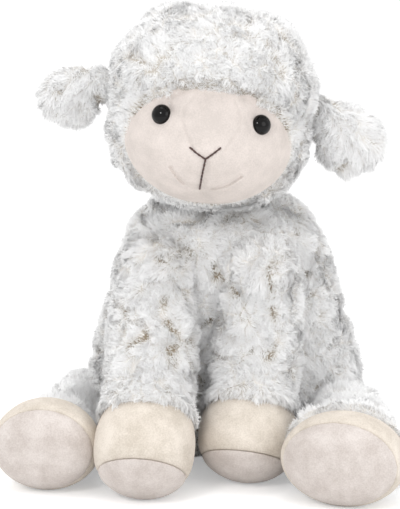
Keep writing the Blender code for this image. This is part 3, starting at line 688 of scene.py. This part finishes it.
# Velour: a knitted cloth with a dense cut pile under 1 mm high. It is matte, glows at its edges and
# shows soft clouds where the pile is brushed one way or the other.
def velour(name, pale, warm):
    """The velour's finish in one colour, from its pale to its warm clouds."""
    finish, tree, shader = new_finish(
        name,
        0.85,
        Specular_IOR_Level=0.2,
        Sheen_Weight=0.35,
        Sheen_Roughness=0.5,
        Sheen_Tint=linear("#fff6ee"),
    )
    brushed = pattern(tree, "Noise", 14 * MM, Detail=4.0, Roughness=0.6).outputs[0]
    nap = pattern(tree, "Noise", 0.9 * MM, Detail=2.0).outputs[0]
    clouds = maths(tree, "MULTIPLY_ADD", nap, 0.6, brushed)
    surface(tree, shader, toned(tree, clouds, (0.6, warm), (1.0, pale)), nap, 0.5, 0.4 * MM)
    return finish


hoof_velour = velour("knitted_cream_velour", "#e5dcd1", "#c9bfb2")
# The sole's cloth is pinker than the hoof's, and its darker tone is partly painted shade, for the
# end of the hoof that faces down and forward.
sole_velour = velour("knitted_pink_velour", "#dcd4cf", "#c3b9b3")


def seam_tuck(run, path, depths, reaches):
    """Rounds a tube of cloth inwards at its two ends, where it is sewn to the next one."""
    centre = path_at(path, run[:, 0])
    far = np.concatenate(([0], np.cumsum(np.linalg.norm(np.diff(centre, axis=0), axis=1))))
    left = far[-1] - far
    drawn = np.zeros(len(run))
    for gone, depth, reach in zip((far, left), depths, reaches):
        near = np.clip(1 - gone / reach, 0, 1)
        drawn += depth * (1 - np.sqrt(np.clip(1 - near**2, 0, 1)))
    return drawn


def velour_cap(name, path, run, halves, depths, reaches, puckers):
    """One closed piece of a hoof, its ends drawn in at the seams, with small puckers there."""
    drawn = seam_tuck(run, path, depths, reaches)
    wide, thick = halves
    wide *= 1.05
    run = run.copy()
    run[:, 1] = np.maximum(run[:, 1] - drawn / wide, 0)
    run[:, 2] = np.maximum(run[:, 2] - drawn / thick, 0)
    grid = padded_grid(path, run, wide, thick, ACROSS, 96)
    turn = full_turn(96)
    pull = np.sin(turn * 31) * 0.5 + np.sin(turn * 19 + 1.0) * 0.5
    amount = (drawn / max(max(depths), 1e-9))[:, None] * pull[None] * puckers
    middle = grid.mean(axis=1, keepdims=True)
    out = grid - middle
    norm = np.maximum(np.linalg.norm(out, axis=2, keepdims=True), 1e-9)
    grid = grid + out / norm * amount[..., None]
    return cloth_from_grid(name, np.concatenate((gathered(grid[0]), grid, gathered(grid[-1]))))


def keep_round(places, middle, radius):
    """Pushes places outwards until none is nearer to a middle than a radius."""
    away = places - middle
    far = np.linalg.norm(away, axis=1, keepdims=True)
    return np.where(far < radius, middle + away / far * radius, places)


for leg, (path, halves, hoof_share) in LEGS.items():
    body = leg + "_leg"
    path = np.array(path) * MM
    halves = [half * MM for half in halves]
    front = "front" in leg
    root_radius = (26 if front else 25) * MM
    run = eased_rings(FRONT_RINGS if front else HIND_RINGS, 6)
    run[:, 1:] *= TUBE_TRIM
    furred = run_between(run, run[0, 0], hoof_share, 90)
    grid = coat_grid(path, furred, halves, ROW_GAP, ACROSS, 84)
    coat = cloth_from_grid(leg + "_leg_coat", np.concatenate((grid, gathered(grid[-1]))))
    draw_in(coat, (7.5 if leg == "right_hind" else 5) * MM)
    places, normals = points_of(coat)
    places = keep_round(places, path[0], root_radius - PILE_DEPTH)
    move_points(coat, places)
    slope = slope_at(path, np.array(hoof_share))
    end = path_at(path, np.array(hoof_share))
    near_hoof = np.clip(1 + ((places - end) @ slope) / (16 * MM), 0, 1)
    bare, dye_and_shade, lean = tuft_coat(coat, 19 * MM, 3.2 * MM, 0.85, near_hoof)
    places, normals = points_of(coat)
    # At the hoof the fur slants over its top, and stands out behind it.
    reach = np.where(normals @ slope > 0.5, 0, near_hoof)
    raised = np.clip(normals @ np.cross(slope, ACROSS), 0, 1)
    slant = (11 - 17 * raised) * MM if front else (3 - 3 * raised) * MM
    slant = slant * near_hoof * (1 - np.abs(normals @ slope))
    puffed = (3.0 + 2.5 * np.abs(normals[:, 0]) if front else HIND_PUFFS[leg]) * MM
    puffed = puffed * eased(reach, 0.2, 0.8)
    moved = places + normals * puffed[:, None] + slope[None] * slant[:, None]
    moved[:, 2] = np.maximum(moved[:, 2], BACKING_LIFT)
    move_points(coat, moved)
    hidden = inside_body(places, (10 if front else 4) * MM)
    if not front:
        # The pile stops where the leg's swing would press it into the body's filling.
        swing = Matrix.Rotation(math.copysign(HIND_SWING, path[0][0]), 3, "Z")
        swung = (places - path[0]) @ np.array(swing).T + path[0]
        hidden |= inside_body(swung, 2.5 * MM)
    cover = np.where(hidden | (normals @ slope > 0.9), 0.0, 1.0)
    cover = np.where(places[:, 2] < 1.5 * MM, 0.15, cover)
    beside = np.abs(normals[:, 0])
    lean *= (1 - 0.6 * near_hoof)[:, None]
    if front:
        lean += slope[None] * (0.2 + near_hoof * (0.1 + 0.6 * beside))[:, None]
        length = 1 + near_hoof * (0.4 * beside - 0.25)
    else:
        lean += slope[None] * (0.25 * near_hoof - 0.4)[:, None]
        length = 1.1 + 0 * near_hoof
    comb(coat, bare, dye_and_shade, lean, cover, length)
    grow_pile(leg + "_leg_pile", coat, body, 21 + 10 * list(LEGS).index(leg))
    finish_coat(coat, body, leg + "_leg_cover")

    hoof = velour_cap(
        leg + "_hoof_cloth",
        path,
        run_between(run, hoof_share - (0.08 if front else 0.03), SOLE_SHARE - 0.002, 60),
        halves,
        (12 * MM if front else 5 * MM, SEAM_DEPTH),
        (26 * MM if front else 6 * MM, 4 * MM),
        PUCKER,
    )
    sole_run = run[run[:, 0] > SOLE_SHARE + 0.004]
    sole_run = np.vstack((run_between(run, SOLE_SHARE + 0.002, SOLE_SHARE + 0.004, 2), sole_run))
    shares = np.linspace(0, 1, 60)
    old = np.linspace(0, 1, len(sole_run))
    sole_run = np.column_stack([np.interp(shares, old, sole_run[:, k]) for k in range(3)])
    sole = velour_cap(
        leg + "_sole_cloth", path, sole_run, halves, (SEAM_DEPTH, 0.0), (4 * MM, 4 * MM), PUCKER
    )
    for piece, finish, node, slot in (
        (hoof, hoof_velour, leg + "_hoof", "cream_velour"),
        (sole, sole_velour, leg + "_hoof_sole", "pink_velour"),
    ):
        places, normals = points_of(piece)
        places[:, 2] = np.maximum(places[:, 2], LOWEST)
        move_points(piece, places)
        piece.data.materials.append(finish)
        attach(piece, body)
        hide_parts(node)

# Tail: a small flap of the same fur, lightly filled and sewn on low at the back. The photograph
# doesn't show it.
TAIL_PATH = np.array(((0, 71, 46), (0, 90, 42), (0, 90, 10))) * MM
TAIL_RINGS = (
    (-0.10, 0.0, 0.0),
    (0.0, 0.48, 0.70),
    (0.45, 0.95, 1.05),
    (0.85, 0.90, 0.95),
    (1.02, 0.0, 0.0),
)
TAIL_HALVES = (15 * MM, 10 * MM)
tail_run = eased_rings(TAIL_RINGS, 8)
tail_run[:, 1:] *= TUBE_TRIM
tail_coat = cloth_from_grid(
    "tail_coat", coat_grid(TAIL_PATH, tail_run, TAIL_HALVES, 2 * MM, ACROSS, 48)
)
draw_in(tail_coat, 0.5 * MM)
bare, dye_and_shade, lean = tuft_coat(tail_coat, 16 * MM, 1.5 * MM, 0.5)
places, normals = points_of(tail_coat)
cover = np.where(inside_body(places, 12 * MM), 0.0, 1.0)
lean += slope_at(TAIL_PATH, np.array(0.8))[None] * 0.4
comb(tail_coat, bare, dye_and_shade, lean, cover, 1.1)
grow_pile("tail_pile", tail_coat, "tail", 51)
finish_coat(tail_coat, "tail", "tail")

# Head: a hood of fur with an oval opening for the face. Its rows run from the seam round the face
# to the back of the head. The head leans to its left.
HEAD_RADIUS = 61 * MM
HEAD_ROLL = math.radians(6)
# Half the opening's width, and how far it goes down and up from its middle.
OPENING = (45.6 * MM, 35.5 * MM)
OPENING_UP = 39.0 * MM
FACE_DOWN = 13.5 * MM
HEAD_LOOK = math.radians(6)
ROLLED = np.array(Matrix.Rotation(HEAD_LOOK, 3, "Z") @ Matrix.Rotation(HEAD_ROLL, 3, "Y"))


def on_head(places):
    """Places measured from the middle of an upright head, on the leaning head."""
    return places @ ROLLED.T + HEAD_MIDDLE


def off_head(places):
    """The same the other way round."""
    return (places - HEAD_MIDDLE) @ ROLLED


# How far the long pile on top of the head stands out, in mm, by degrees above its middle.
HOOD_ANGLES = (-75, -55, -38, -20, 0, 20, 34, 43, 53, 65, 78, 90)
HOOD_PUFFS = (0.0, 3.0, 6.5, 5.0, 2.0, 2.5, 4.5, 8.0, 11.5, 10.0, 6.5, 5.0)
turn = full_turn(160)
edge_x = OPENING[0] * np.cos(turn)
edge_z = np.where(np.sin(turn) > 0, OPENING_UP, OPENING[1]) * np.sin(turn) - FACE_DOWN
bearing = np.arctan2(edge_z, edge_x)
first_angle = np.arcsin(np.minimum(np.hypot(edge_x, edge_z) / HEAD_RADIUS, 0.99))
rows = []
for share in np.linspace(0, 1, 64):
    angle = first_angle + (math.pi - first_angle) * share
    sideward = np.sin(angle) * np.cos(bearing)
    rows.append(np.column_stack((sideward, -np.cos(angle), np.sin(angle) * np.sin(bearing))))
grid = np.array(rows)
height = np.clip(grid[..., 2], 0, 1)
fuller = 1 + 0.10 * np.sin(math.pi * height) ** 2
grid = grid * HEAD_RADIUS
grid[..., :2] *= fuller[..., None]
rim = grid[0] * 0.86
rim[:, 1] = grid[0][:, 1] + 6 * MM
hood_coat = cloth_from_grid("hood_coat", np.concatenate((gathered(rim), rim[None], grid)))
# The backing lies under its pile, but for the cloth that is turned in round the face.
places, normals = points_of(hood_coat)
fixed = np.linalg.norm(places, axis=1) < 57 * MM
local = places - normals * np.where(fixed, 0, PILE_DEPTH)[:, None]
opening = np.where(local[:, 2] > -FACE_DOWN, OPENING_UP, OPENING[1])
oval = np.hypot(local[:, 0] / OPENING[0], (local[:, 2] + FACE_DOWN) / opening)
in_front = local[:, 1] < -18 * MM
edge = np.clip(1 - np.abs(oval - 1.0) / 0.35, 0, 1) * in_front
top = np.clip((local[:, 2] - 5 * MM) / (20 * MM), 0, 1)
up = np.degrees(np.arcsin(np.clip(local[:, 2] / np.linalg.norm(local, axis=1), -1, 1)))
out = local / np.linalg.norm(local, axis=1, keepdims=True)
puff = np.interp(up, HOOD_ANGLES, HOOD_PUFFS) * MM
puff[up < 0] *= (1 - edge)[up < 0]
puff[fixed] = 0
roll = 3.0 * MM * np.exp(-(((up - 31) / 9) ** 2)) * eased(-out[:, 1], 0.3, 0.8)
local = local + out * puff[:, None] + np.array((0.0, -1.0, 0.0)) * roll[:, None]
move_points(hood_coat, on_head(local))
bare, dye_and_shade, lean = tuft_coat(hood_coat, 18 * MM, 2.1 * MM, 0.5, edge * 0.6)
# Round the face the pile is brushed outwards and, above it, over the edge. Its dyed roots show
# there, and the rim's brown is partly painted shade round the face's edge and under the fringe.
cover = np.where((oval < 0.97) & in_front, 0.0, 1.0)
fringe = np.zeros_like(local)
fringe[:, 1] -= 0.5 * edge * top
fringe[:, 2] -= 0.1 * edge * top
beside = np.clip(1 - top * 2, 0, 1) * edge
fringe[:, 0] += 0.4 * beside * local[:, 0] / OPENING[0]
fringe[:, 2] += 0.4 * beside * (local[:, 2] + FACE_DOWN) / OPENING[1]
# Painted shade in part: the rim round the face gets the roots' brown, and its thinner, shorter pile
# bares more brown backing. The brown stands for real roots and for the shade at the face's edge.
rim_share = np.clip(1.6 - np.abs(oval - 0.99) / 0.05, 0, 1) * in_front
dye_and_shade = np.maximum(dye_and_shade, rim_share * (1.0 - 0.55 * top))
cover = cover * (1 - 0.4 * rim_share * (1 - 0.6 * top))
fringe[:, 0] += 0.8 * rim_share * (1 - top) * local[:, 0] / OPENING[0]
fringe[:, 2] += 0.8 * rim_share * (1 - top) * (local[:, 2] + FACE_DOWN) / OPENING[1]
lean = lean * (1 - 0.5 * edge)[:, None] + fringe @ ROLLED.T
comb(hood_coat, bare, dye_and_shade, lean, cover, (1 - 0.3 * edge * (1 - top)) * (1 - 0.3 * rim_share))
grow_pile("hood_pile", hood_coat, "head", 61, layers=3)
finish_coat(hood_coat, "head", "head_hood")

# Face: cream velour panels sewn into a muzzle, with a bridge between two seams, pulled in at the
# eyes by their washers and creased by the mouth's thread.
FACE_HALF_WIDTH = 50 * MM
FACE_ABOVE = 56 * MM
FACE_BELOW = 38 * MM
FACE_REACH = 42 * MM
FACE_AHEAD = 22 * MM
# Each eye's place to the side and up, in mm.
EYE_AT = (29, 3)


def dent(x, z, at, radius):
    """A soft round dent, 1 in its middle."""
    return np.exp(-((x - at[0]) ** 2 + (z - at[1]) ** 2) / radius**2)


def groove(x, z, line, radius):
    """A soft groove along a line of points, 1 on the line."""
    nearest = np.full(x.shape, 1.0)
    for (ax, az), (bx, bz) in zip(line, line[1:]):
        dx, dz = bx - ax, bz - az
        along = np.clip(((x - ax) * dx + (z - az) * dz) / (dx * dx + dz * dz), 0, 1)
        nearest = np.minimum(nearest, np.hypot(x - ax - along * dx, z - az - along * dz))
    return np.exp(-((nearest / radius) ** 2))


def face_relief():
    """What swells or is drawn in, in mm: how far, at a point or along a line, and how wide."""
    yield 7, [(0, -20)], 21
    yield -3, [(0, -47)], 9
    for side in (-1, 1):
        yield -3.4, [(side * EYE_AT[0], EYE_AT[1])], 9
        yield -1.2, [(side * 24, 9)], 5
        yield 1.6, [(side * 26, -18)], 14
        seam = ((9, -12.5), (13, -6), (17, 1), (17, 9), (12, 17))
        yield -0.7, [(side * x, z) for x, z in seam], 1.0
        brow = ((15.9, 19.8), (24, 15), (25.8, 10.7), (24.3, 6.8))
        yield -1.6 if side < 0 else -0.8, [(side * x, z) for x, z in brow], 1.6
    yield 2.4, [(0, 2)], 15
    yield -2.2, [(-20.5, -26), (-16.5, -31), (-12, -35)], 1.0
    yield -2.2, [(5, -36.4), (13, -33.5), (20.5, -27)], 1.0
    yield -1.2, [(-9, -37), (4, -37)], 2.2
    yield -0.9, [(0, -19), (0, -37)], 1.6


def face_shape(across, ahead, up):
    """The face at directions from its middle, before the head leans."""
    height = np.where(up > 0, FACE_ABOVE, FACE_BELOW)
    x = across * FACE_HALF_WIDTH
    z = up * height - FACE_DOWN
    push = np.zeros_like(x)
    for depth, line, width in face_relief():
        line = [(at_x * MM, at_z * MM) for at_x, at_z in line]
        if len(line) == 1:
            push += depth * MM * dent(x, z, line[0], width * MM)
        else:
            push += depth * MM * groove(x, z, line, width * MM)
    y = ahead * FACE_REACH - FACE_AHEAD
    return np.stack((x, y - push, z), axis=-1)


turn = full_turn(220)
rings = []
for angle in np.radians(np.linspace(0, 92, 110)):
    across, up = math.sin(angle) * np.cos(turn), math.sin(angle) * np.sin(turn)
    rings.append(face_shape(across, np.full(len(turn), -math.cos(angle)), up))
grid = np.array(rings)
face_cloth = cloth_from_grid("face_cloth", on_head(np.concatenate((grid, gathered(grid[-1])))))
face_velour = velour("knitted_face_velour", "#e1d7d1", "#cec5bf")
face_cloth.data.materials.append(face_velour)
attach(face_cloth, "head")
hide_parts("face_panel")
face_tree = BVHTree.FromPolygons(
    [vert.co for vert in face_cloth.data.vertices],
    [polygon.vertices for polygon in face_cloth.data.polygons],
)
AHEAD = Vector(ROLLED @ np.array((0.0, -1.0, 0.0)))


def face_point(x, z):
    """The place and direction of the face's cloth at a point seen from the front."""
    start = Vector(on_head(np.array((x, -0.2, z))))
    place, normal, _, _ = face_tree.ray_cast(start, -AHEAD)
    return place, normal


# Eyes: black plastic safety eyes, each a moulded and polished dome on a shank that goes through
# the face into its washer.
eye_finish, tree, shader = new_finish("moulded_black_abs", 0.06, IOR=1.54, Specular_IOR_Level=0.2)
haze = pattern(tree, "Noise", 2.5 * MM).outputs[0]
gloss = add_node(tree, "ShaderNodeMapRange", inputs={"Value": haze, "To Min": 0.04, "To Max": 0.1})
tree.links.new(gloss.outputs[0], shader.inputs["Roughness"])
surface(tree, shader, toned(tree, haze, (0.3, "#050404"), (0.8, "#0c0a0a")))
EYE_RADIUS = 6 * MM
EYE_HEIGHT = 4.8 * MM
SHANK_RADIUS = 2 * MM
SHANK_END = -10 * MM
for name, side in (("left_eye", 1), ("right_eye", -1)):
    place, normal = face_point(side * EYE_AT[0] * MM, EYE_AT[1] * MM)
    outline = [(0.0, EYE_HEIGHT)]
    for angle in np.radians(np.linspace(86, 0, 18)):
        outline.append((EYE_RADIUS * math.cos(angle), EYE_HEIGHT * math.sin(angle)))
    outline += [
        (EYE_RADIUS - 0.2 * MM, -0.5 * MM),
        (SHANK_RADIUS, -0.6 * MM),
        (SHANK_RADIUS, SHANK_END),
        (0.0, SHANK_END),
    ]
    turn = full_turn(48)
    rings = [
        np.column_stack((r * np.cos(turn), r * np.sin(turn), np.full(len(turn), h)))
        for r, h in outline
    ]
    eye = cloth_from_grid(name + "_dome", np.array(rings))
    turned = normal.to_track_quat("Z", "Y").to_matrix().to_4x4()
    eye.data.transform(Matrix.Translation(place + normal * (0.3 * MM)) @ turned)
    eye.data.set_sharp_from_angle(angle=math.radians(40))
    eye.data.materials.append(eye_finish)
    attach(eye, "head")
    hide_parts(name)

# Nose and mouth: three lines of backstitch in dark brown rayon thread, about 1 mm thick, sewn by
# hand through the face. Each line is given by its start, bend and end in mm.
thread_finish, tree, shader = new_finish("twisted_brown_rayon", 0.5, Sheen_Weight=0.3)
diagonal = {"bands_direction": "DIAGONAL"}
plies = pattern(tree, "Wave", 4.0 * MM, diagonal, Distortion=1.0).outputs[0]
tone = toned(tree, plies, (0.0, "#2a1410"), (1.0, "#4a2a22"))
surface(tree, shader, tone, plies, 0.6, 0.15 * MM)
FORK = (-1.4, -16.9)
LINES = (
    ((-11.2, -11.6), (-6.2, -14.6), FORK),
    ((6.8, -9.6), (3.4, -13.0), FORK),
    (FORK, (-2.6, -27), (-2.6, -37.4)),
)
STITCH = 2.6 * MM
OVERLAP = 0.12
THREAD_RADIUS = 0.62 * MM
sewn = bmesh.new()
for line in LINES:
    points = [face_point(x, z) for x, z in path_at(np.array(line) * MM, np.linspace(0, 1, 24))]
    far = np.cumsum([0] + [(b[0] - a[0]).length for a, b in zip(points, points[1:])])
    count = max(1, round(far[-1] / STITCH))
    for stitch in range(count):
        low = far[-1] * (stitch - OVERLAP) / count
        high = far[-1] * (stitch + 1 + OVERLAP) / count
        middles = []
        for share in np.linspace(0, 1, 9):
            at = np.clip(low + (high - low) * share, 0, far[-1])
            place, normal = [
                Vector([np.interp(at, far, [point[part][k] for point in points]) for k in range(3)])
                for part in (0, 1)
            ]
            normal.normalize()
            rise = math.sin(math.pi * share)
            radius = THREAD_RADIUS * (0.35 + 0.65 * rise**0.5)
            middles.append((place + normal * (0.15 + 0.35 * rise) * MM, normal, radius))
        tangent = (middles[-1][0] - middles[0][0]).normalized()
        rings = []
        for centre, normal, radius in middles:
            side = tangent.cross(normal).normalized()
            rings.append(
                [
                    sewn.verts.new(
                        centre + (side * math.cos(a) + normal * math.sin(a) * 0.9) * radius
                    )
                    for a in full_turn(10)
                ]
            )
        for near, after in zip(rings, rings[1:]):
            for step in range(len(near)):
                turned = (step + 1) % len(near)
                sewn.faces.new((near[step], near[turned], after[turned], after[step]))
        sewn.faces.new(rings[0])
        sewn.faces.new(rings[-1])
bmesh.ops.recalc_face_normals(sewn, faces=sewn.faces)
mesh = bpy.data.meshes.new("mouth_thread")
sewn.to_mesh(mesh)
sewn.free()
mesh.shade_smooth()
mouth_thread = put_in_scene("mouth_thread", mesh)
mouth_thread.data.materials.append(thread_finish)
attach(mouth_thread, "head")
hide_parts("mouth_stitching")

# Ears: flat padded flaps of the same fur, sewn into the hood's sides, from which they hang. The
# left one hangs a little lower than the right one.
EAR_RINGS = (
    (-0.10, 0.0, 0.0),
    (0.0, 0.36, 0.70),
    (0.30, 0.60, 0.90),
    (0.62, 1.0, 1.10),
    (0.90, 0.80, 0.90),
    (1.02, 0.0, 0.0),
)
EAR_HALVES = (23 * MM, 10 * MM)
ear_run = eased_rings(EAR_RINGS, 8)
ear_run[:, 1:] *= TUBE_TRIM
for name, side in (("left_ear", 1), ("right_ear", -1)):
    droop = 6 if side > 0 else 0
    path = np.array(((side * 55, 3, 10), (side * 79, 3, 10 - droop), (side * 99, 3, -15 - droop)))
    grid = coat_grid(path * MM, ear_run, EAR_HALVES, 2.2 * MM, UPRIGHT, 64)
    grid[..., 2] -= (4 * MM if side > 0 else 0) * eased(np.abs(grid[..., 0]), 58 * MM, 80 * MM)
    coat = cloth_from_grid(name + "_coat", on_head(grid))
    draw_in(coat, (2 if side > 0 else 4.5) * MM)
    bare, dye_and_shade, lean = tuft_coat(coat, 18 * MM, 2.5 * MM, 0.6)
    places, normals = points_of(coat)
    local = off_head(places)
    cover = np.where(np.linalg.norm(local, axis=1) < 54 * MM, 0.0, 1.0)
    lean += np.array((side * 0.3, 0.0, -0.35)) @ ROLLED.T
    comb(coat, bare, dye_and_shade, lean, cover, 1.0)
    grow_pile(name + "_pile", coat, name, 71 + side)
    finish_coat(coat, name, name)

# Filling: loose carded polyester fibre, blown into the body, head and legs. These pieces and the
# bean bag and washers below keep the solids' shapes, and show only if a seam is opened.
fill_finish, tree, shader = new_finish("carded_polyester_fill", 0.95, Sheen_Weight=0.4)
wisps = pattern(tree, "Noise", 6 * MM, Detail=6.0, Distortion=1.5).outputs[0]
tone = toned(tree, wisps, (0.3, "#dcdcda"), (0.7, "#f4f4f3"))
surface(tree, shader, tone, wisps, 0.7, 1.5 * MM)


def dress_solid(node, finish):
    """Gives a solid that is shown as it is its own finish."""
    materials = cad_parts[node].data.materials
    materials.clear()
    materials.append(finish)


for node in ["body_stuffing", "head_stuffing"] + [leg + "_leg_stuffing" for leg in LEGS]:
    dress_solid(node, fill_finish)

# Bean bag: plain-woven cotton sewn round plastic beans, which weighs the seat down. Its weave is
# the higher of the warp's and the weft's waves.
bag_finish, tree, shader = new_finish("plain_woven_cotton", 0.9)
warp, weft = [pattern(tree, "Wave", 6.3 * MM, {"bands_direction": way}).outputs[1] for way in "XY"]
weave = maths(tree, "MAXIMUM", warp, weft)
tone = toned(tree, weave, (0.3, "#c4c2bb"), (0.9, "#e4e2dc"))
surface(tree, shader, tone, weave, 0.5, 0.2 * MM)
dress_solid("seat_bean_bag", bag_finish)

# Eye washers: injection-moulded polypropylene, white and faintly waxy, pushed on from inside. A
# fine grain gives them a little unevenness.
washer_finish, tree, shader = new_finish("moulded_polypropylene", 0.42, IOR=1.49)
grain = pattern(tree, "Noise", 1.0 * MM).outputs[0]
surface(tree, shader, toned(tree, grain, (0.3, "#e6e6e2"), (0.7, "#f2f2ef")))
for node in ("left_eye_washer", "right_eye_washer"):
    dress_solid(node, washer_finish)

# Studio: a pale floor, an even white surround and soft lamps above and to both sides. Floor and
# surround are brighter to the camera than to the toy, so they look white without washing it out.
FLOOR_HALF = 4.0
floor_mesh = bpy.data.meshes.new("floor")
corners = [(x * FLOOR_HALF, y * FLOOR_HALF, 0) for x, y in ((-1, -1), (1, -1), (1, 1), (-1, 1))]
floor_mesh.from_pydata(corners, [], [(0, 1, 2, 3)])
floor = put_in_scene("floor", floor_mesh)
floor_finish = bpy.data.materials.new("matt_white_paper")
floor_finish.use_nodes = True
tree = floor_finish.node_tree
tree.nodes.clear()
paper = add_node(tree, "ShaderNodeBsdfDiffuse", inputs={"Color": linear("#f0f0f0")}).outputs[0]
white = add_node(tree, "ShaderNodeEmission", inputs={"Color": (1, 1, 1, 1), "Strength": 0.35})
both = add_node(tree, "ShaderNodeAddShader", inputs={0: paper, 1: white.outputs[0]}).outputs[0]


def show_to_camera(tree, kind, lit, seen):
    """Ends a tree in one look for the light on the toy and another for what the camera sees."""
    ray = add_node(tree, "ShaderNodeLightPath").outputs
    share = ray["Is Camera Ray"]
    for other in ("Is Glossy Ray", "Is Transmission Ray"):
        share = maths(tree, "MAXIMUM", share, ray[other])
    pick = add_node(tree, "ShaderNodeMixShader", inputs={0: share, 1: lit, 2: seen})
    add_node(tree, kind, inputs={"Surface": pick.outputs[0]})


show_to_camera(tree, "ShaderNodeOutputMaterial", paper, both)
floor_mesh.materials.append(floor_finish)

world = bpy.data.worlds.new("studio")
bpy.context.scene.world = world
world.use_nodes = True
tree = world.node_tree
tree.nodes.clear()
dim, bright = [
    add_node(
        tree, "ShaderNodeBackground", inputs={"Color": (1, 1, 1, 1), "Strength": strength}
    ).outputs[0]
    for strength in (0.88, 1.0)
]
show_to_camera(tree, "ShaderNodeOutputWorld", dim, bright)

LIT_POINT = Vector((0, -0.03, 0.13))
for name, place, size, power in (
    ("key", (-0.5, -1.2, 0.95), 0.3, 4.6),
    ("fill", (1.0, -0.8, 0.6), 0.9, 3.3),
    ("top", (-0.1, 0.1, 1.4), 0.9, 5.0),
):
    lamp = bpy.data.lights.new(name, "AREA")
    lamp.shape = "DISK"
    lamp.size = size
    lamp.energy = power
    light = put_in_scene(name, lamp)
    light.location = place
    point_along(light, LIT_POINT - Vector(place))
